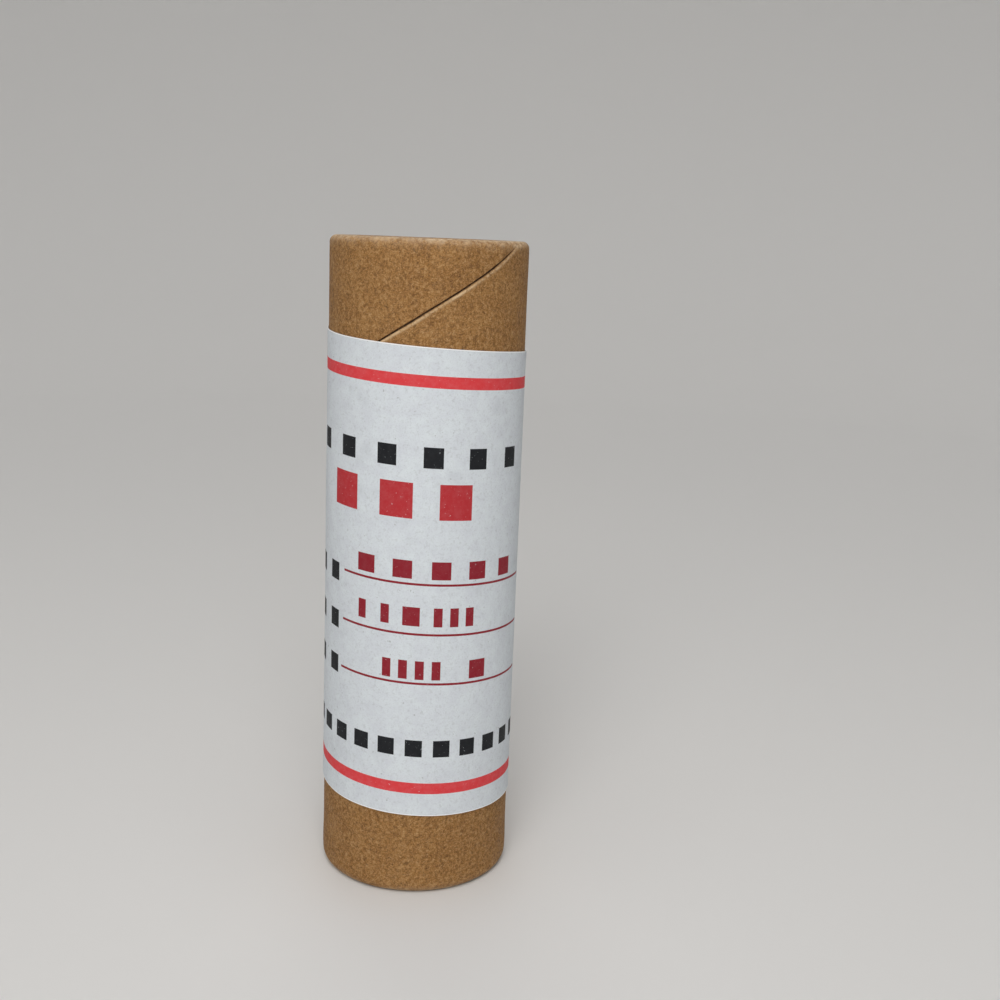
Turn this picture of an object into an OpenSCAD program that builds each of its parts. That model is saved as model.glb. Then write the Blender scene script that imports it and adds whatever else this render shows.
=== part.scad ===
// A sealed packing tube for glass laboratory capillaries, standing on its end.
// The wall is wound from kraft board and curled in over a flat disc at each end.
// A paper label is glued around it, a little askew.
// Millimetres. The tube stands on the origin, +Z up, and the label's middle faces -Y.

/* [Tube] */
// Outside diameter of the tube
tube_d = 36; // [28:0.5:60]
// Height of the tube over both rims
tube_h = 120; // [98:1:200]
// Thickness of the wound wall
wall_t = 1.5; // [1:0.1:2]

/* [Rims] */
// Width of the curl, measured in from the outside of the tube
curl_w = 3.6; // [3.4:0.1:5]
// Height of the curl, which is how far the disc lies inside the rim
curl_h = 3; // [2:0.1:3.2]
// Outer rounding of the top rim
top_round = 1.3; // [0.6:0.1:1.7]
// Outer rounding of the bottom rim
foot_round = 1.7; // [0.6:0.1:1.7]

/* [End discs] */
// Thickness of each board disc
disc_t = 1; // [0.6:0.1:2]
// Play between a disc's edge and the wall around it
disc_play = 0.1; // [0.05:0.05:0.3]

/* [Label] */
// Length of the label around the tube
label_w = 86; // [40:1:86]
// Height of the label
label_h = 86; // [40:1:86]
// How far the label's middle lies below the tube's middle
label_drop = 0.8; // [-2:0.1:2]
// Skew of the label in degrees; a positive skew lowers its right side
label_skew = 2.8; // [-3:0.1:3]
// Thickness of the label paper
label_t = 0.12; // [0.08:0.01:0.3]
// Thickness of the glue under the label
glue_t = 0.05; // [0.03:0.01:0.1]

/* [Hidden] */
$fn = 96;

tube_r = tube_d / 2;
bore_r = tube_r - wall_t;
disc_r = bore_r - disc_play;

// From a rim down to the face that its disc lies on
seat_depth = curl_h + disc_t;

label_steps = 96;
label_arc = label_w / tube_r * 180 / PI;
label_step = label_arc / label_steps;
label_mid_z = tube_h / 2 - label_drop;

// The label's flats clear the round wall by the glue, so its corners stand a little further out
label_inner_r = (tube_r + glue_t) / cos(label_step / 2);
label_outer_r = label_inner_r + label_t;

// Half section of a curl, from its crest at y = 0 down to the disc
module curl_section(outer_round) {
    bead_r = curl_h / 2;
    bead_x = tube_r - curl_w + bead_r;
    corner_x = tube_r - outer_round;
    translate([bead_x, -bead_r]) circle(r = bead_r);
    translate([bead_x, -curl_h]) square([corner_x - bead_x, curl_h]);
    translate([corner_x, -outer_round]) intersection() {
        circle(r = outer_round);
        square(outer_round);
    }
    translate([corner_x, -curl_h]) square([outer_round, curl_h - outer_round]);
}

// Wall, curls and packed inside in one piece: the contents can't be seen in a sealed tube
module kraft_tube() {
    color("#9c6b3e")
    rotate_extrude() {
        translate([0, tube_h]) curl_section(top_round);
        mirror([0, 1]) curl_section(foot_round);
        translate([bore_r, curl_h]) square([wall_t, tube_h - 2 * curl_h]);
        translate([0, seat_depth]) square([bore_r, tube_h - 2 * seat_depth]);
    }
}

module disc() {
    cylinder(h = disc_t, r = disc_r);
}

module top_disc() {
    color("#8a6a4d")
    translate([0, 0, tube_h - seat_depth]) disc();
}

module bottom_disc() {
    color("#8a6a4d")
    translate([0, 0, curl_h]) disc();
}

// Height of the label's middle line at slice i, counted from its left edge
function label_line(i) = label_mid_z - (i / label_steps - 0.5) * label_w * tan(label_skew);

// One upright slice of the label: inner and outer bottom corners, then outer and inner top ones
function label_slice(i) =
    let (
        turn = (i - label_steps / 2) * label_step,
        ray = [sin(turn), -cos(turn)],
        low = label_line(i) - label_h / 2,
        high = low + label_h
    )
    [
        [label_inner_r * ray.x, label_inner_r * ray.y, low],
        [label_outer_r * ray.x, label_outer_r * ray.y, low],
        [label_outer_r * ray.x, label_outer_r * ray.y, high],
        [label_inner_r * ray.x, label_inner_r * ray.y, high],
    ];

// The two triangles between side k of slice i and the same side of the next slice
function slice_side(i, k) =
    let (
        a = 4 * i + k,
        b = 4 * i + (k + 1) % 4
    )
    [[b + 4, b, a], [a + 4, b + 4, a]];

module label() {
    left_edge = [for (k = [0:3]) k];
    right_edge = [for (k = [3:-1:0]) 4 * label_steps + k];
    color("#c3c7cf")
    polyhedron(
        points = [for (i = [0:label_steps], p = label_slice(i)) p],
        faces = [
            left_edge,
            right_edge,
            for (i = [0:label_steps - 1], k = [0:3], t = slice_side(i, k)) t,
        ]
    );
}

kraft_tube();
top_disc();
bottom_disc();
label();
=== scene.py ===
import math

import bmesh
import bpy
from mathutils import Matrix, Vector, noise


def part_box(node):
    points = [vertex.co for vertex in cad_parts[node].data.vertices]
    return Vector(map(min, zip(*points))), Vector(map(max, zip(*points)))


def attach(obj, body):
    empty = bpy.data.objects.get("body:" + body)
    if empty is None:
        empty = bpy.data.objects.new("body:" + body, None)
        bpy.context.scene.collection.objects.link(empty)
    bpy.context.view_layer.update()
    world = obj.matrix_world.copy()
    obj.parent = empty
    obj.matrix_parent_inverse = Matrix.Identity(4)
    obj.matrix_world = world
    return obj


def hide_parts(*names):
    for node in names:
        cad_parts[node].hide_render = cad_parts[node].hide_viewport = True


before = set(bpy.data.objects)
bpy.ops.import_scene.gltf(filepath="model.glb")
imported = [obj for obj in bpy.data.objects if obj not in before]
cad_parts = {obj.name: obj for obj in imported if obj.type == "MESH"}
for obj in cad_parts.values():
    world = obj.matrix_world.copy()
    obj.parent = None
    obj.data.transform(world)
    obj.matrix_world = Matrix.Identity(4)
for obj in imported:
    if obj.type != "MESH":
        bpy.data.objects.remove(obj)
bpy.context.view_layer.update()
mm = 0.001
weldDistance = 0.001 * mm
samePlace = 0.01 * mm    # points closer than this count as one

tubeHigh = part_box("kraft_tube")[1]
tubeRadius = tubeHigh.x
tubeHeight = tubeHigh.z
topDiscLow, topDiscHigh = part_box("top_disc")
bottomDiscLow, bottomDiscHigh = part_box("bottom_disc")
labelLow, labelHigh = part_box("label")

scene = bpy.context.scene
scene.view_settings.view_transform = "Standard"


# numbers and noise

def ease(low, high, value):    # 0 below low, 1 above high, smooth between
    t = min(max((value - low) / (high - low), 0), 1)
    return t * t * (3 - 2 * t)


def hump(value, middle, width):    # 1 at the middle, fading to both sides
    return math.exp(-((value - middle) / width) ** 2)


def grain(x, y, z=0.0):    # repeatable smooth noise, about -1 to 1
    return noise.noise(Vector((x, y, z)))


def wander(along, layers):    # noise along a line; a layer is the length of its waves, its share and row
    return sum(share * grain(along / length, row) for length, share, row in layers)


def lumps(point, layers):    # noise in space; a layer is the lengths of its waves and its share
    return sum(share * grain(*(p / length for p, length in zip(point, lengths)))
               for lengths, share in layers)


# shapes and pieces

def arc(centreX, centreY, radius, start, end, steps):
    turns = [math.radians(start + (end - start) * i / steps) for i in range(steps + 1)]
    return [(centreX + radius * math.cos(t), centreY + radius * math.sin(t)) for t in turns]


def drawOutline(bm, outline):    # a line of radii and heights, to be spun about the axis
    verts = [bm.verts.new((r, 0, z)) for r, z in outline]
    for first, second in zip(verts[:-1], verts[1:]):
        bm.edges.new((first, second))
    return verts


def spinOutline(bm, columns):
    bmesh.ops.spin(bm, geom=bm.verts[:] + bm.edges[:], cent=(0, 0, 0), axis=(0, 0, 1),
                   angle=math.radians(360), steps=columns, use_merge=True, use_duplicate=False)
    bmesh.ops.remove_doubles(bm, verts=bm.verts[:], dist=weldDistance)
    bmesh.ops.recalc_face_normals(bm, faces=bm.faces[:])


def makeObject(name, bm, materials):
    mesh = bpy.data.meshes.new(name)
    bm.to_mesh(mesh)
    bm.free()
    for material in materials:
        mesh.materials.append(material)
    mesh.shade_smooth()
    newObject = bpy.data.objects.new(name, mesh)
    scene.collection.objects.link(newObject)
    return newObject


def makePiece(name, bm, materials, node):
    if bm.calc_volume(signed=True) < 0:    # a thin bent sheet can come out inside out
        bmesh.ops.reverse_faces(bm, faces=bm.faces[:])
    piece = makeObject(name, bm, materials)
    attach(piece, "root")
    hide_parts(node)
    print(name, "made")
    return piece


# camera

cameraStand = {
    "distance": 229.7 * mm,    # from the tube's axis
    "height": 121.0 * mm,
    "side": 15.3,    # degrees to the right of the label's middle
    "pan": -3.62,
    "tilt": -12.05,
    "roll": -2.28,
    "lens": 44.67,    # mm, as for the sensor
    "sensor": 36,
    "nearest": 10 * mm,
    "farthest": 20,
}


def makeCamera():
    stand = cameraStand
    data = bpy.data.cameras.new("camera")
    data.lens = stand["lens"]
    data.sensor_width = stand["sensor"]
    data.clip_start = stand["nearest"]
    data.clip_end = stand["farthest"]
    camera = bpy.data.objects.new("camera", data)
    scene.collection.objects.link(camera)
    side = Matrix.Rotation(math.radians(stand["side"]), 4, "Z")
    pan = Matrix.Rotation(math.radians(stand["pan"]), 4, "Z")
    tilt = Matrix.Rotation(math.radians(stand["tilt"]), 4, "X")
    roll = Matrix.Rotation(math.radians(stand["roll"]), 4, "Y")
    upright = Matrix.Rotation(math.radians(90), 4, "X")    # from looking down to looking along +Y
    place = Matrix.Translation((0, -stand["distance"], stand["height"]))
    camera.matrix_world = side @ place @ pan @ tilt @ roll @ upright
    scene.camera = camera
    print("camera set")


# material helpers

def newMaterial(name):
    material = bpy.data.materials.new(name)
    material.use_nodes = True
    return material, material.node_tree, material.node_tree.nodes["Principled BSDF"]


def addNode(tree, kind, **sockets):
    node = tree.nodes.new(kind)
    for socket, value in sockets.items():
        node.inputs[socket].default_value = value
    return node


def feed(tree, socket, value):    # value: an output, a colour or a number
    if isinstance(value, bpy.types.NodeSocket):
        tree.links.new(value, socket)
    elif socket.type == "RGBA":
        socket.default_value = (*value, 1)
    else:
        socket.default_value = value


def objectPoints(tree, turn=(0, 0, 0), finer=(1, 1, 1)):    # object coordinates in millimetres
    points = tree.nodes.new("ShaderNodeTexCoord")
    mapping = tree.nodes.new("ShaderNodeMapping")
    mapping.vector_type = "TEXTURE"    # the pattern is turned, and is finer along its own axes
    mapping.inputs["Scale"].default_value = [mm / times for times in finer]
    mapping.inputs["Rotation"].default_value = [math.radians(t) for t in turn]
    tree.links.new(points.outputs["Object"], mapping.inputs["Vector"])
    return mapping.outputs["Vector"]


def cloud(tree, points, size, detail=3.0, rough=0.55):    # noise whose lumps are about size mm across
    node = addNode(tree, "ShaderNodeTexNoise", Scale=1 / size, Detail=detail, Roughness=rough)
    tree.links.new(points, node.inputs["Vector"])
    return node.outputs["Fac"]


def remap(tree, value, low, high, toLow=0.0, toHigh=1.0):
    node = tree.nodes.new("ShaderNodeMapRange")
    node.interpolation_type = "SMOOTHSTEP"
    for socket, number in zip(("From Min", "From Max", "To Min", "To Max"), (low, high, toLow, toHigh)):
        node.inputs[socket].default_value = number
    tree.links.new(value, node.inputs["Value"])
    return node.outputs["Result"]


def blendColour(tree, amount, first, second):
    node = tree.nodes.new("ShaderNodeMix")
    node.data_type = "RGBA"
    feed(tree, node.inputs["Factor"], amount)
    feed(tree, node.inputs["A"], first)
    feed(tree, node.inputs["B"], second)
    return node.outputs["Result"]


def compute(tree, operation, first, second):
    node = tree.nodes.new("ShaderNodeMath")
    node.operation = operation
    feed(tree, node.inputs[0], first)
    feed(tree, node.inputs[1], second)
    return node.outputs["Value"]


def addBump(tree, height, distance, strength=1.0, below=None):
    node = addNode(tree, "ShaderNodeBump", Strength=strength, Distance=distance)
    tree.links.new(height, node.inputs["Height"])
    if below:
        tree.links.new(below, node.inputs["Normal"])
    return node.outputs["Normal"]


def addTones(tree, colour, finish, pattern, tones):    # a tone: where it starts, is full, and its share
    for tone, (start, full, most) in tones.items():
        colour = blendColour(tree, remap(tree, pattern, start, full, 0, most), colour, finish[tone])
    return colour


# board; the sizes of its grain are in mm

kraftFinish = {
    "board": (0.303, 0.145, 0.041),
    "paleBoard": (0.36, 0.182, 0.056),
    "darkFibre": (0.085, 0.036, 0.012),
    "paleFibre": (0.52, 0.325, 0.15),
    # painted shade: the dark colour laid into the seam's groove
    "shadedGap": (0.03, 0.013, 0.005),
    # paler cut fibres along the seam's raised lip, with a painted highlight laid on them
    "cutFibreAndHighlight": (0.68, 0.48, 0.28),
    # the crest's pale colour: wear and a painted highlight
    "wornAndHighlight": (0.70, 0.54, 0.36),
    "coarseness": 1,
    "roughness": 0.78,
    "curlRoughness": 0.46,
    "dullGrain": {"size": 1.4, "detail": 4},
    "dullRange": (0.35, 0.65, -0.1, 0.1),
    "softGrain": {"size": 2.2, "detail": 3},
    "softBump": {"distance": 0.035 * mm, "strength": 0.5},
    "fibreBump": {"distance": 0.03 * mm, "strength": 0.6},
    "specular": 0.32,
}

discFinish = {
    "board": (0.215, 0.113, 0.045),
    "paleBoard": (0.275, 0.15, 0.065),
    "darkFibre": (0.06, 0.03, 0.013),
    "paleFibre": (0.46, 0.31, 0.17),
    "coarseness": 1.15,
    "roughness": 0.85,
    "scuffPlace": {"turn": (0, 0, 38), "finer": (1, 9, 1)},
    "scuffGrain": {"size": 6, "detail": 2},
    "scuffs": {"paleFibre": (0.62, 0.75, 0.3)},
    "softGrain": {"size": 1.8, "detail": 2},
    "softBump": {"distance": 0.05 * mm, "strength": 0.6},
    "fibreBump": {"distance": 0.04 * mm, "strength": 0.8},
    "specular": 0.3,
}

boardMottle = {"size": 6, "range": (0.3, 0.7)}

boardGrain = {
    "patches": {"size": 1.7, "detail": 4, "rough": 0.65, "tones": {"darkFibre": (0.5, 0.3, 0.2)}},
    "speckle": {"size": 0.62, "detail": 4, "rough": 0.72,
                "tones": {"darkFibre": (0.56, 0.31, 0.62), "paleFibre": (0.49, 0.72, 0.62)}},
    "grit": {"size": 0.23, "detail": 2, "rough": 0.6,
             "tones": {"darkFibre": (0.47, 0.3, 0.6), "paleFibre": (0.53, 0.7, 0.5)}},
    "flecks": {"size": 0.34, "detail": 1, "rough": 0.5,
               "tones": {"darkFibre": (0.29, 0.22, 0.75), "paleFibre": (0.73, 0.79, 0.6)}},
}

boardStrands = {    # long fibres, lying three ways
    "places": [
        {"turn": (35, 20, 60), "finer": (0.8, 4, 0.8)},
        {"turn": (-40, 75, -15), "finer": (3.2, 0.8, 0.8)},
        {"turn": (80, -30, 20), "finer": (0.8, 0.8, 4)},
    ],
    "grain": {"size": 0.9, "detail": 2, "rough": 0.5,
              "tones": {"darkFibre": (0.34, 0.25, 0.6), "paleFibre": (0.67, 0.76, 0.6)}},
}

# which channel of the tube's marks shows each tone, and the grain that breaks it up
skinMarks = {
    # the crest's pale band: wear and a painted highlight
    "wornAndHighlight": {"channel": "Alpha", "grain": {"size": 1.1, "detail": 4, "rough": 0.7},
             "range": (0.32, 0.66, 0.1, 1)},
    # the seam's lip: paler cut fibres and a painted highlight
    "cutFibreAndHighlight": {"channel": "Green", "grain": {"size": 0.6, "rough": 0.7}, "range": (0.34, 0.56, 0.15, 1)},
    # the seam's gap gets painted shade
    "shadedGap": {"channel": "Red", "grain": {"size": 0.45}, "range": (0.3, 0.5, 0.6, 1)},
}


def addGrain(tree, points, colour, finish, look):    # gives back the toned colour and the grain itself
    pattern = cloud(tree, points, look["size"] * finish["coarseness"], look["detail"], look["rough"])
    return addTones(tree, colour, finish, pattern, look["tones"]), pattern


def fibreColour(tree, points, finish):    # mottled board with pale and dark fibres lying every way
    pattern = cloud(tree, points, boardMottle["size"] * finish["coarseness"])
    mottle = remap(tree, pattern, *boardMottle["range"])
    colour = blendColour(tree, mottle, finish["board"], finish["paleBoard"])
    patterns = {}
    for name, look in boardGrain.items():
        colour, patterns[name] = addGrain(tree, points, colour, finish, look)
    for place in boardStrands["places"]:
        lying = objectPoints(tree, **place)
        colour = addGrain(tree, lying, colour, finish, boardStrands["grain"])[0]
    return colour, patterns["speckle"]


def boardSurface(tree, shader, points, speckle, finish):
    soft = addBump(tree, cloud(tree, points, **finish["softGrain"]), **finish["softBump"])
    fine = addBump(tree, speckle, below=soft, **finish["fibreBump"])
    tree.links.new(fine, shader.inputs["Normal"])
    shader.inputs["Specular IOR Level"].default_value = finish["specular"]


def makeKraft():
    finish = kraftFinish
    material, tree, shader = newMaterial("kraftBoard")
    points = objectPoints(tree)
    colour, speckle = fibreColour(tree, points, finish)
    marks = tree.nodes.new("ShaderNodeAttribute")
    marks.attribute_name = "marks"    # red: the seam gap's painted shade, green: the lip's pale cut fibres with a painted highlight, blue: pressed curl, alpha: the crest's wear with a painted highlight
    split = tree.nodes.new("ShaderNodeSeparateColor")
    tree.links.new(marks.outputs["Color"], split.inputs["Color"])
    channels = {name: split.outputs[name] for name in ("Red", "Green", "Blue")}
    channels["Alpha"] = marks.outputs["Alpha"]
    # the colour takes the gap's painted shade, the lip's pale fibres with painted highlight and the crest's
    # wear with painted highlight
    for tone, mark in skinMarks.items():
        broken = remap(tree, cloud(tree, points, **mark["grain"]), *mark["range"])
        amount = compute(tree, "MULTIPLY", channels[mark["channel"]], broken)
        colour = blendColour(tree, amount, colour, finish[tone])
    tree.links.new(colour, shader.inputs["Base Color"])
    dull = remap(tree, cloud(tree, points, **finish["dullGrain"]), *finish["dullRange"])
    smoother = finish["roughness"] - finish["curlRoughness"]
    smoothness = compute(tree, "MULTIPLY", channels["Blue"], smoother)
    roughness = compute(tree, "SUBTRACT", compute(tree, "ADD", dull, finish["roughness"]), smoothness)
    tree.links.new(roughness, shader.inputs["Roughness"])
    boardSurface(tree, shader, points, speckle, finish)
    return material


def makeDiscBoard():
    finish = discFinish
    material, tree, shader = newMaterial("discBoard")
    points = objectPoints(tree)
    colour, speckle = fibreColour(tree, points, finish)
    scuffed = cloud(tree, objectPoints(tree, **finish["scuffPlace"]), **finish["scuffGrain"])
    colour = addTones(tree, colour, finish, scuffed, finish["scuffs"])
    tree.links.new(colour, shader.inputs["Base Color"])
    shader.inputs["Roughness"].default_value = finish["roughness"]
    boardSurface(tree, shader, points, speckle, finish)
    return material


# paper and inks; the sizes of their grain are in mm

paperFinish = {
    "sheet": (0.71, 0.762, 0.797),
    "shadedSheet": (0.652, 0.688, 0.738),
    "smudge": (0.53, 0.565, 0.60),
    "speck": (0.33, 0.34, 0.34),
    "roughness": 0.82,
    "specular": 0.35,
    "softGrain": {"size": 3.2, "detail": 2},
    "softBump": {"distance": 0.025 * mm, "strength": 0.6},
    "fineGrain": {"size": 0.3, "detail": 3},
    "fineBump": {"distance": 0.012 * mm, "strength": 0.6},
}

# cut paper: the white cut edge, made whiter still as a painted highlight, and also laid on a thin band
# along the front's edges as a painted highlight
cutPaperAndHighlightFinish = {
    "edge": (0.92, 0.925, 0.93),
    "roughness": 0.9,
    "grain": {"size": 0.15},
    "bump": {"distance": 0.01 * mm},
}

paperMottle = {"grain": {"size": 2.4, "detail": 5, "rough": 0.75}, "range": (0.3, 0.7)}

paperGrain = [    # handled patches, pulp, grit and scattered specks
    {"size": 7, "detail": 4, "rough": 0.6, "tones": {"smudge": (0.56, 0.72, 0.3)}},
    {"size": 0.55, "detail": 2, "rough": 0.55, "tones": {"speck": (0.46, 0.3, 0.2)}},
    {"size": 0.24, "detail": 2, "rough": 0.6, "tones": {"speck": (0.52, 0.3, 0.16)}},
    {"size": 0.8, "detail": 1, "rough": 0.55, "tones": {"speck": (0.755, 0.8, 0.6)}},
]

inkFinish = {
    "roughness": 0.62,
    "specular": 0.2,
    "fleckGrain": {"size": 0.4, "detail": 3, "rough": 0.7},
    "fleckRange": (0.655, 0.73, 0, 0.7),
    "thinGrain": {"size": 1.1, "detail": 4, "rough": 0.7},
    "thinRange": (0.35, 0.7),
}

inks = {    # colour, and how much of the paper shines through where the ink is thin
    "redInk": ((0.71, 0.05, 0.058), 0.05),
    "deepRedInk": ((0.47, 0.03, 0.037), 0.03),
    "darkRedInk": ((0.27, 0.014, 0.025), 0.02),
    "blackInk": ((0.011, 0.012, 0.015), 0.008),
}


def paperColour(tree, points):
    finish = paperFinish
    mottle = remap(tree, cloud(tree, points, **paperMottle["grain"]), *paperMottle["range"])
    colour = blendColour(tree, mottle, finish["shadedSheet"], finish["sheet"])
    for look in paperGrain:
        pattern = cloud(tree, points, look["size"], look["detail"], look["rough"])
        colour = addTones(tree, colour, finish, pattern, look["tones"])
    return colour


def paperSurface(tree, shader, points, roughness, specular):
    finish = paperFinish
    soft = addBump(tree, cloud(tree, points, **finish["softGrain"]), **finish["softBump"])
    fine = addBump(tree, cloud(tree, points, **finish["fineGrain"]), below=soft, **finish["fineBump"])
    tree.links.new(fine, shader.inputs["Normal"])
    shader.inputs["Roughness"].default_value = roughness
    shader.inputs["Specular IOR Level"].default_value = specular


def makePaper():
    material, tree, shader = newMaterial("labelPaper")
    points = objectPoints(tree)
    tree.links.new(paperColour(tree, points), shader.inputs["Base Color"])
    paperSurface(tree, shader, points, paperFinish["roughness"], paperFinish["specular"])
    return material


def makeCutPaperAndHighlight():
    finish = cutPaperAndHighlightFinish
    material, tree, shader = newMaterial("cutPaperAndHighlight")
    shader.inputs["Base Color"].default_value = (*finish["edge"], 1)
    shader.inputs["Roughness"].default_value = finish["roughness"]
    fibres = cloud(tree, objectPoints(tree), **finish["grain"])
    tree.links.new(addBump(tree, fibres, **finish["bump"]), shader.inputs["Normal"])
    return material


def makeInk(name):    # printed ink, with small flecks where the paper shows through
    finish = inkFinish
    ink, thinness = inks[name]
    material, tree, shader = newMaterial(name)
    points = objectPoints(tree)
    flecks = remap(tree, cloud(tree, points, **finish["fleckGrain"]), *finish["fleckRange"])
    thin = remap(tree, cloud(tree, points, **finish["thinGrain"]), *finish["thinRange"], 0, thinness)
    colour = blendColour(tree, compute(tree, "ADD", flecks, thin), ink, paperColour(tree, points))
    tree.links.new(colour, shader.inputs["Base Color"])
    paperSurface(tree, shader, points, finish["roughness"], finish["specular"])
    return material


# kraft tube

kraftTube = {
    "topRound": 1.3 * mm,
    "footRound": 1.7 * mm,
    "roundSteps": 9,
    "curlWidth": 3.6 * mm,
    "curlEnd": 262,    # degrees, where the round of the curl meets the disc
    "curlSteps": 20,
    "discPlay": 0.1 * mm,
    "columns": 300,
    "crowding": 0.72,    # how closely the columns stand beside the seam
    "rowHeight": 0.8 * mm,
    "footBulge": 0.1 * mm,
    "footBulgeAt": 3.5 * mm,    # from the end, as for the top one
    "topBulge": 0.03 * mm,
    "topBulgeAt": 4 * mm,
    "bulgeHeight": 3 * mm,
    "unevenness": 0.035 * mm,
    "unevenNoise": [((14, 14, 20), 1), ((4, 4, 5), 0.4)],    # lengths in mm
    "pleatDepth": 0.11 * mm,
    "pleatNoise": [(9, 1, 0), (24, 0.6, 5)],    # how close they stand, share and row
    "pleatLength": 60,    # mm
}

seam = {
    "lead": 32.2,    # degrees that the winding climbs
    "height": 104.9 * mm,    # where the seam crosses the label's upright middle line
    "gapHalf": 0.155 * mm,
    "gapFade": (0.5, 1.4),    # shares of that half, from full depth to none
    "gapDepth": 0.3 * mm,
    "gapNoise": [(4, 0.45, 12), (1.4, 0.35, 16)],    # lengths in mm, here and below
    "waver": 0.1 * mm,
    "waverNoise": [(6, 1, 4), (1.7, 0.4, 8)],
    "lipRise": 0.1 * mm,    # the edge that stands up on one side, pale with cut fibres and a painted highlight
    "lipAt": 0.27 * mm,    # from the gap
    "lipWidth": 0.26 * mm,
    "lipShare": 0.8,    # how much of it stands on average, and at least
    "lipLeast": 0.15,
    "lipNoise": [(2.5, 0.8, 20), (1.1, 0.6, 24)],
    "rollDepth": 0.03 * mm,    # the other edge is pressed in a little
    "rollAt": 0.15 * mm,
    "rollWidth": 0.3 * mm,
    "leastOpen": 0.1,    # what is left of it where the curl presses it shut
}

# lengths along the skin from the nearer end; below nought it has turned over the rim into the curl
skinBands = {
    "seat": -9 * mm,    # beyond this it is the seat behind the disc, which stays as it is
    "shows": (-6.5 * mm, -3.5 * mm),
    "unpleated": (-4 * mm, -1.5 * mm),
    "unpressed": (-1 * mm, 1.5 * mm),
    "seamOpens": (0.8 * mm, 2.3 * mm),
}

# where the crest is painted pale: partly wear, partly a painted highlight along the rim
crestWearAndHighlight = {
    "at": -0.4 * mm,
    "width": 1.2 * mm,
    "amount": 0.7,
    "patchiness": 0.8,
    "patchCloseness": 2.2,
    "patchLength": 80,    # mm
    "patchRow": 30,
    "seamSideAt": 0.6 * mm,    # across the seam, where its raised side is painted pale too, as wear with a painted highlight
    "seamSideWidth": 1.1 * mm,
    "seamEndAt": -0.1 * mm,    # along the skin
    "seamEndWidth": 1.0 * mm,
}


def endOutline(outerRound, crest, discFace, discBack):    # from the wall over the curl to the axis
    shape = kraftTube
    up = 1 if crest > discFace else -1
    bead = abs(crest - discFace) / 2
    beadX = tubeRadius - shape["curlWidth"] + bead
    cornerX = tubeRadius - outerRound
    seatRadius = topDiscHigh.x + shape["discPlay"]
    seatDepth = abs(crest - discBack)
    outline = arc(cornerX, -outerRound, outerRound, 0, 90, shape["roundSteps"])
    outline += arc(beadX, -bead, bead, 90, shape["curlEnd"], shape["curlSteps"])
    outline.append((seatRadius, -2 * bead))
    outline += [(seatRadius * share, -seatDepth) for share in (1, 0.66, 0.33, 0)]
    return [(r, crest + up * depth) for r, depth in outline]


def tubeOutline():    # from the axis at the foot to the axis at the top, and where the wall starts in it
    shape = kraftTube
    foot = endOutline(shape["footRound"], 0, bottomDiscLow.z, bottomDiscHigh.z)[::-1]
    top = endOutline(shape["topRound"], tubeHeight, topDiscHigh.z, topDiscLow.z)
    low, high = foot[-1][1], top[0][1]
    rows = round((high - low) / shape["rowHeight"])
    wall = [(tubeRadius, low + (high - low) * i / rows) for i in range(1, rows)]
    return foot + wall + top, len(foot) - 1


def spinTube(bm, travelLayer):    # travel: height up the wall, carried on along the curls
    outline, wallStart = tubeOutline()
    lengths = [0]
    for (r0, z0), (r1, z1) in zip(outline, outline[1:]):
        lengths.append(lengths[-1] + math.hypot(r1 - r0, z1 - z0))
    for vert, length in zip(drawOutline(bm, outline), lengths):
        vert[travelLayer] = length - lengths[wallStart] + kraftTube["footRound"]
    spinOutline(bm, kraftTube["columns"])


def seamTurn(travel):    # turn about the axis from the label's middle, in radians
    return (travel - seam["height"]) / (math.tan(math.radians(seam["lead"])) * tubeRadius)


def followSeam(bm, travelLayer):    # turns the columns along the seam; gives each vertex's way across it
    lead = math.sin(math.radians(seam["lead"]))
    across = {}
    for vert in bm.verts:
        radius = math.hypot(vert.co.x, vert.co.y)
        turn = math.atan2(vert.co.y, vert.co.x)
        turn -= kraftTube["crowding"] * math.sin(turn)
        across[vert] = turn * tubeRadius * lead
        turn += seamTurn(vert[travelLayer]) - math.pi / 2
        vert.co.x, vert.co.y = radius * math.cos(turn), radius * math.sin(turn)
    bm.normal_update()
    return across


def seamSection(across, travel):    # rise of the skin beside the seam, how much painted shade the gap gets, and how pale the lip is painted, as cut fibres with a painted highlight
    along = travel / mm
    across += seam["waver"] * wander(along, seam["waverNoise"])
    half = seam["gapHalf"] * (1 + wander(along, seam["gapNoise"]))
    shadedGap = 1 - ease(*seam["gapFade"], abs(across) / half)
    ragged = max(seam["lipShare"] + wander(along, seam["lipNoise"]), seam["lipLeast"])
    lip = hump(across, half + seam["lipAt"], seam["lipWidth"]) * ragged
    roll = hump(across, -half - seam["rollAt"], seam["rollWidth"])
    rise = seam["lipRise"] * lip - seam["rollDepth"] * roll
    return rise * (1 - shadedGap) - seam["gapDepth"] * shadedGap, shadedGap, lip * (1 - shadedGap)


def skinUnevenness(point, around, travel, fromEnd):    # bulges, lumps and pleats; point in mm
    shape = kraftTube
    rise = shape["footBulge"] * hump(travel, shape["footBulgeAt"], shape["bulgeHeight"])
    rise += shape["topBulge"] * hump(travel, tubeHeight - shape["topBulgeAt"], shape["bulgeHeight"])
    uneven = lumps(point, shape["unevenNoise"])
    if fromEnd < 0:
        uneven = -abs(uneven)    # so that no crest stands past the tube's ends
    rise += shape["unevenness"] * uneven * ease(*skinBands["shows"], fromEnd)
    up = point.z / shape["pleatLength"]
    pleats = sum(share * grain(around.x * close, around.y * close, up + row)
                 for close, share, row in shape["pleatNoise"])
    gathered = 1 - ease(*skinBands["unpleated"], fromEnd)
    return rise - shape["pleatDepth"] * abs(pleats) * gathered


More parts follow.
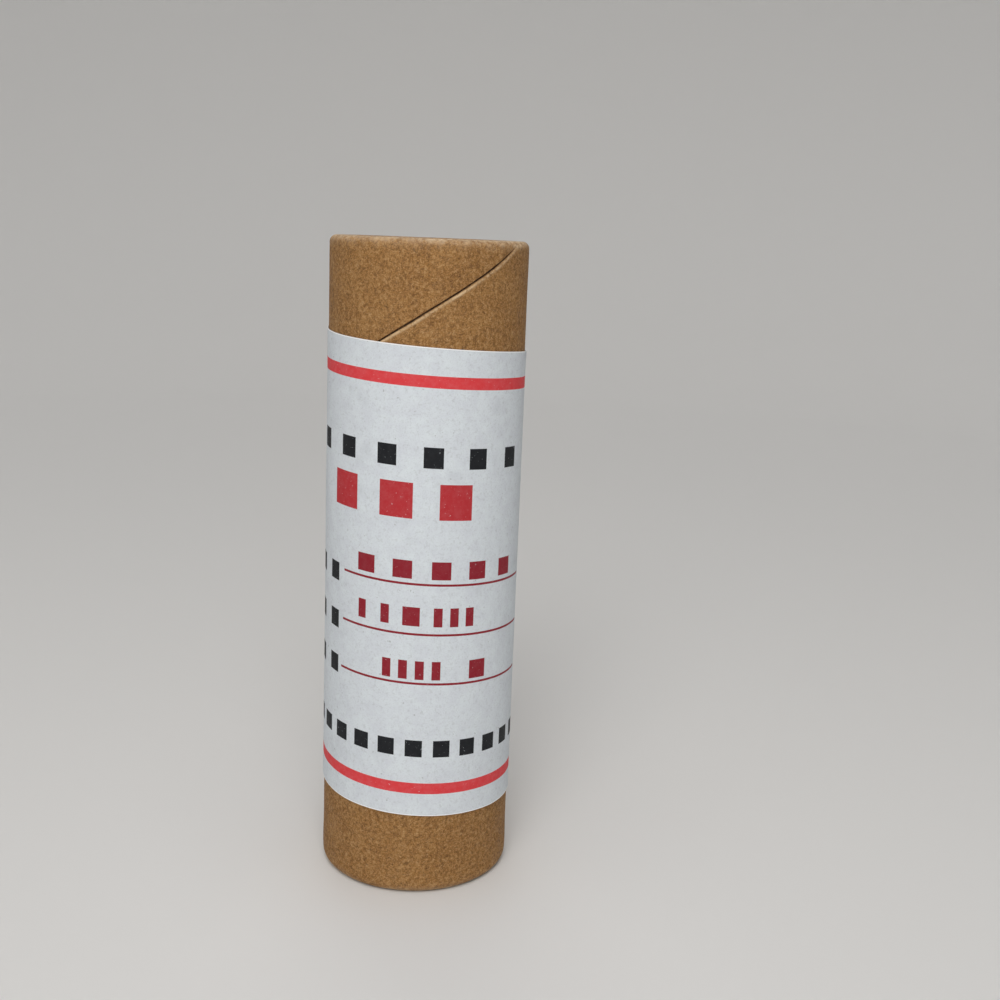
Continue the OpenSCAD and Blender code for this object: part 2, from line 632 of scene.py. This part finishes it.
def skinWearAndHighlight(point, around, across, fromEnd):    # how far the crest is painted pale, as wear with a painted highlight, most beside the seam
    style = crestWearAndHighlight
    turn = around * style["patchCloseness"]
    patches = grain(turn.x, turn.y, style["patchRow"] + point.z / style["patchLength"])
    paleness = min(max(style["amount"] + style["patchiness"] * patches, 0), 1)
    wearAndHighlight = hump(fromEnd, style["at"], style["width"]) * paleness
    beside = hump(across, style["seamSideAt"], style["seamSideWidth"])
    wearAndHighlight += beside * hump(fromEnd, style["seamEndAt"], style["seamEndWidth"])
    return min(wearAndHighlight, 1)


def makeTube(material):
    bm = bmesh.new()
    travelLayer = bm.verts.layers.float.new("travel")
    marksLayer = bm.verts.layers.float_color.new("marks")
    spinTube(bm, travelLayer)
    across = followSeam(bm, travelLayer)
    moves = {}
    for vert in bm.verts:
        travel = vert[travelLayer]
        fromEnd = min(travel, tubeHeight - travel)
        point = vert.co / mm
        around = vert.co.xy.normalized()
        shows = ease(*skinBands["shows"], fromEnd)
        openness = seam["leastOpen"] + (1 - seam["leastOpen"]) * ease(*skinBands["seamOpens"], fromEnd)
        seamRise, shadedGap, lip = seamSection(across[vert], travel)
        rise = seamRise * shows * openness + skinUnevenness(point, around, travel, fromEnd)
        if fromEnd > skinBands["seat"]:
            moves[vert] = vert.normal * rise
        pressed = 1 - ease(*skinBands["unpressed"], fromEnd)
        wearAndHighlight = skinWearAndHighlight(point, around, across[vert], fromEnd)
        # the marks carry the gap's painted shade, the lip's pale fibres with painted highlight, the pressed
        # curl, and the crest's wear with painted highlight
        vert[marksLayer] = (shadedGap * shows * openness, lip * shows * openness, pressed * shows, wearAndHighlight)
    for vert, move in moves.items():
        vert.co += move
        vert.co.z = min(max(vert.co.z, 0), tubeHeight)
    makePiece("kraftTube", bm, [material], "kraft_tube")


# end discs

endDisc = {
    "rings": 20,
    "columns": 120,
    "edgeBevel": 0.08 * mm,
    "dish": 0.12 * mm,
    "unevenness": 0.05 * mm,
    "heldFrom": (0.75, 0.88),    # share of the radius where the curl starts to hold it flat
}


def makeDisc(name, node, low, high, side, material):    # side: the way that it shows, 1 up and -1 down
    shape = endDisc
    radius, bevel = high.x, shape["edgeBevel"]
    back, front = (low.z, high.z) if side > 0 else (high.z, low.z)
    outline = [(radius * i / shape["rings"], front) for i in range(shape["rings"])]
    outline += [(radius - bevel, front), (radius, front - side * bevel), (radius, back), (0, back)]
    bm = bmesh.new()
    drawOutline(bm, outline)
    spinOutline(bm, shape["columns"])
    for vert in bm.verts:
        if abs(vert.co.z - front) > samePlace:
            continue
        x, y = vert.co.xy / mm
        share = vert.co.xy.length / radius
        free = 1 - ease(*shape["heldFrom"], share)
        lump = grain(x / 5 + 40 * side, y / 5) + 0.5 * grain(x / 2, y / 2, 3)
        sunk = shape["dish"] * (1 - share) + shape["unevenness"] * (1 + lump)
        vert.co.z -= side * free * sunk
    makePiece(name, bm, [material], node)


# label

labelSheet = {
    "width": 86 * mm,
    "height": 86 * mm,
    "skew": 2.8,    # degrees that the right side hangs lower
    "thickness": 0.12 * mm,
    "glue": 0.05 * mm,
    "columns": 86,
    "rows": 43,
    "looseBand": 4.5 * mm,    # how far in the side edges have come loose
    "edgeLift": 0.34 * mm,
    "leastLift": 0.25,    # share of that lift where an edge lies lowest
    "liftWave": 3.1,    # mm of edge for each radian of its wave
    "liftShift": 1.3,    # radians that the wave is ahead on the right and behind on the left
    "liftDrift": 2.2,    # radians that it wanders
    "driftLength": 16,    # mm
    "curledBand": 3 * mm,    # how far in the top and bottom edges curl
    "endCurl": 0.13 * mm,
    "curlLength": 8,    # mm over which that curl comes and goes
    "ripple": 0.1 * mm,
    "rippleNoise": [((4, 30), 0.6, 2), ((2, 14), 0.3, 8)],    # lengths in mm, share and row
    "middleRipple": 0.35,    # share of the ripple that reaches the middle
    "rippleGrows": (8, 34),    # mm from the middle to either side
    "edgeHighlightBand": 0.17 * mm,    # how far the white cut edge's painted highlight reaches onto the front
    "cutSlant": 0.5,    # degrees that the top is cut off square
    "creaseAngle": 40,    # degrees from which an edge is shaded as a sharp one
}

labelPrint = {
    "frameWidth": 2.1 * mm,
    "frameSide": 5.0 * mm,
    "frameTop": 4.85 * mm,
    "frameFoot": 4.3 * mm,
    "ruleThickness": 0.42 * mm,
    "ruleRight": 30 * mm,    # where every rule ends; below, where each starts and how high it stands
    "ruleStarts": ((-10.8 * mm, 1.1 * mm), (-11.05 * mm, -8.15 * mm), (-11.45 * mm, -17.4 * mm)),
}

# ink, height above the label's middle, block height, block width, where the blocks stand, all in mm
printRows = [
    ("blackInk", 23.9, 3.7, 3.5, [-18.3 + 8.25 * i for i in range(6)]),
    ("deepRedInk", 16.1, 6.4, 6.0, [10.7 * i for i in (-1, 0, 1)]),
    ("blackInk", 0.2, 3.4, 2.9, [-20.2, -13.9]),
    ("blackInk", -8.8, 3.4, 2.9, [-20.2, -13.9]),
    ("blackInk", -17.4, 3.4, 2.9, [-20.2, -13.9]),
    ("darkRedInk", 3.7, 3.3, 3.5, [-5.5 + 6.95 * i for i in range(5)]),
    ("darkRedInk", -4.9, 3.5, 1.6, [-6.2, -1.6, 8.0, 11.0, 14.0]),
    ("darkRedInk", -4.9, 3.5, 3.1, [3.2]),
    ("darkRedInk", -14.9, 3.5, 1.6, [-1.1 + 3.0 * i for i in range(4)]),
    ("darkRedInk", -14.9, 3.5, 3.5, [16.0]),
    ("blackInk", -29.9, 3.2, 3.1, [-26.4 + 5.1 * i for i in range(12)]),
]

labelSurfaces = ["paper", "cut", *inks]    # in the order of the label's materials; cut is the cut edge and the painted highlight band along the front's edges


def printFields():    # every printed field of the flat label, as ink, left, right, low and high
    style = labelPrint
    left = -labelSheet["width"] / 2 + style["frameSide"]
    right = -left
    high = labelSheet["height"] / 2 - style["frameTop"]
    low = -labelSheet["height"] / 2 + style["frameFoot"]
    line = style["frameWidth"]
    fields = [
        ("redInk", left, right, high - line, high),
        ("redInk", left, right, low, low + line),
        ("redInk", left, left + line, low + line, high - line),
        ("redInk", right - line, right, low + line, high - line),
    ]
    half = style["ruleThickness"] / 2
    for start, middle in style["ruleStarts"]:
        fields.append(("darkRedInk", start, style["ruleRight"], middle - half, middle + half))
    for ink, middle, height, width, places in printRows:
        for place in places:
            edges = (place - width / 2, place + width / 2, middle - height / 2, middle + height / 2)
            fields.append((ink, *(edge * mm for edge in edges)))
    return fields


def cutSheet(bm, fields):    # the flat front, cut along the edges of every field and inked
    shape = labelSheet
    bmesh.ops.create_grid(bm, x_segments=shape["columns"], y_segments=shape["rows"], size=0.5)
    bmesh.ops.scale(bm, vec=(shape["width"], shape["height"], 1), verts=bm.verts[:])
    sideBand = shape["width"] / 2 - shape["edgeHighlightBand"]
    endBand = shape["height"] / 2 - shape["edgeHighlightBand"]
    uprights = sorted({edge for field in fields for edge in field[1:3]} | {-sideBand, sideBand})
    levels = sorted({edge for field in fields for edge in field[3:5]} | {-endBand, endBand})
    for normal, cuts in (((1, 0, 0), uprights), ((0, 1, 0), levels)):
        for cut in cuts:
            bmesh.ops.bisect_plane(bm, geom=bm.verts[:] + bm.edges[:] + bm.faces[:], dist=samePlace,
                                   plane_co=Vector(normal) * cut, plane_no=normal)
    for face in bm.faces:
        middle = face.calc_center_median()
        # a thin band along the front's edges takes the cut paper's colour: a painted highlight
        if abs(middle.x) > sideBand or abs(middle.y) > endBand:
            face.material_index = labelSurfaces.index("cut")
        for ink, left, right, low, high in fields:
            if left < middle.x < right and low < middle.y < high:
                face.material_index = labelSurfaces.index(ink)


def thickenSheet(bm):    # adds a back of plain paper and a cut edge all round
    bmesh.ops.recalc_face_normals(bm, faces=bm.faces[:])
    if bm.faces[:][0].normal.z < 0:
        bmesh.ops.reverse_faces(bm, faces=bm.faces[:])
    bmesh.ops.solidify(bm, geom=bm.faces[:], thickness=labelSheet["thickness"])
    for face in bm.faces:
        if abs(face.normal.z) < 0.5:
            face.material_index = labelSurfaces.index("cut")
        elif face.normal.z < 0:
            face.material_index = labelSurfaces.index("paper")


def labelStandOff(across, up):    # how far a point of the glued label stands off its bed
    shape = labelSheet
    x, y = across / mm, up / mm
    loose = 1 - ease(0, shape["looseBand"], shape["width"] / 2 - abs(across))
    side = 1 if across > 0 else -1
    drift = shape["liftDrift"] * grain(y / shape["driftLength"], 7 * side)
    wave = 0.5 + 0.5 * math.sin(y / shape["liftWave"] + shape["liftShift"] * side + drift)
    lift = shape["edgeLift"] * loose * (shape["leastLift"] + (1 - shape["leastLift"]) * wave)
    curled = 1 - ease(0, shape["curledBand"], shape["height"] / 2 - abs(up))
    curl = shape["endCurl"] * curled * (0.6 + 0.6 * grain(x / shape["curlLength"], 3 if up > 0 else 9))
    toSides = shape["middleRipple"] + (1 - shape["middleRipple"]) * ease(*shape["rippleGrows"], abs(x))
    waves = sum(share * grain(x / wide, y / tall, row) for (wide, tall), share, row in shape["rippleNoise"])
    return lift + curl + max(shape["ripple"] * toSides * (0.5 + waves), 0)


def makeLabel(materials):
    shape = labelSheet
    fields = printFields()
    bm = bmesh.new()
    cutSheet(bm, fields)
    thickenSheet(bm)
    front = max(vert.co.z for vert in bm.verts)
    bedRadius = tubeRadius + shape["glue"] + shape["thickness"]
    middleZ = (labelLow.z + labelHigh.z) / 2
    skew = math.tan(math.radians(shape["skew"]))
    cutSlant = math.tan(math.radians(shape["cutSlant"]))
    for vert in bm.verts:
        across, up, depth = vert.co.x, vert.co.y, vert.co.z - front
        nearTop = max(1 - (shape["height"] / 2 - up) / labelPrint["frameTop"], 0)
        height = middleZ + up - across * (skew + nearTop * cutSlant)
        radius = bedRadius + depth + labelStandOff(across, up)
        turn = across / tubeRadius
        vert.co = Vector((radius * math.sin(turn), -radius * math.cos(turn), height))
    bmesh.ops.recalc_face_normals(bm, faces=bm.faces[:])
    label = makePiece("paperLabel", bm, materials, "label")
    label.data.set_sharp_from_angle(angle=math.radians(shape["creaseAngle"]))
    print(len(fields), "fields printed on the label")


# floor, backdrop and lights

studio = {
    "floorColour": (0.72, 0.712, 0.70),
    "floorRoughness": 0.9,
    "floorRadius": 0.7,
    "backdropRadius": 1.5,
    "backdropHeight": 1.5,
    "sweepSteps": 16,
    "columns": 128,
    "sky": (0.87, 0.93, 1.0),
    "skyStrength": 0.09,
}

# name, degrees to the right of the label's middle, degrees up, strength, softness in degrees, colour
sunLights = [
    ("keyLight", 6, 35, 0.5, 22, (1.0, 0.985, 0.965)),
    ("topLight", 0, 80, 0.72, 50, (1.0, 0.99, 0.975)),
    ("backLight", 200, 38, 0.48, 40, (1.0, 0.99, 0.975)),
]

nearLamp = {
    "place": (0.05, -0.35, 0.42),
    "aim": (0, 0, 0.09),
    "size": 0.3,
    "power": 1.15,
    "colour": (1.0, 0.985, 0.965),
}


def makeGround():
    material, _, shader = newMaterial("paleFloor")
    shader.inputs["Base Color"].default_value = (*studio["floorColour"], 1)
    shader.inputs["Roughness"].default_value = studio["floorRoughness"]
    inner, outer = studio["floorRadius"], studio["backdropRadius"]
    sweep = arc(inner, outer - inner, outer - inner, -90, 0, studio["sweepSteps"])
    sweep.append((outer, studio["backdropHeight"]))
    for name, outline in (("floor", [(0, 0), (inner, 0)]), ("backdrop", sweep)):
        bm = bmesh.new()
        drawOutline(bm, outline)
        spinOutline(bm, studio["columns"])
        ground = makeObject(name, bm, [material])
        ground.visible_shadow = name != "backdrop"    # the backdrop lets the sky's light through
    print("floor and backdrop made")


def addLight(name, kind, strength, colour):
    data = bpy.data.lights.new(name, kind)
    data.energy = strength
    data.color = colour
    light = bpy.data.objects.new(name, data)
    scene.collection.objects.link(light)
    return light


def makeLights():
    world = bpy.data.worlds.new("sky")
    world.use_nodes = True
    background = world.node_tree.nodes["Background"]
    background.inputs["Color"].default_value = (*studio["sky"], 1)
    background.inputs["Strength"].default_value = studio["skyStrength"]
    scene.world = world
    for name, side, up, strength, softness, colour in sunLights:
        sun = addLight(name, "SUN", strength, colour)
        sun.data.angle = math.radians(softness)
        sun.rotation_euler = (math.radians(90 - up), 0, math.radians(side))
    lamp = addLight("nearLamp", "AREA", nearLamp["power"], nearLamp["colour"])
    lamp.data.size = nearLamp["size"]
    lamp.location = nearLamp["place"]
    lamp.rotation_euler = (Vector(nearLamp["aim"]) - lamp.location).to_track_quat("-Z", "Y").to_euler()
    print("lights set")


makeCamera()
discBoard = makeDiscBoard()
makeTube(makeKraft())
makeDisc("topDisc", "top_disc", topDiscLow, topDiscHigh, 1, discBoard)
makeDisc("bottomDisc", "bottom_disc", bottomDiscLow, bottomDiscHigh, -1, discBoard)
makeLabel([makePaper(), makeCutPaperAndHighlight()] + [makeInk(name) for name in inks])
makeGround()
makeLights()
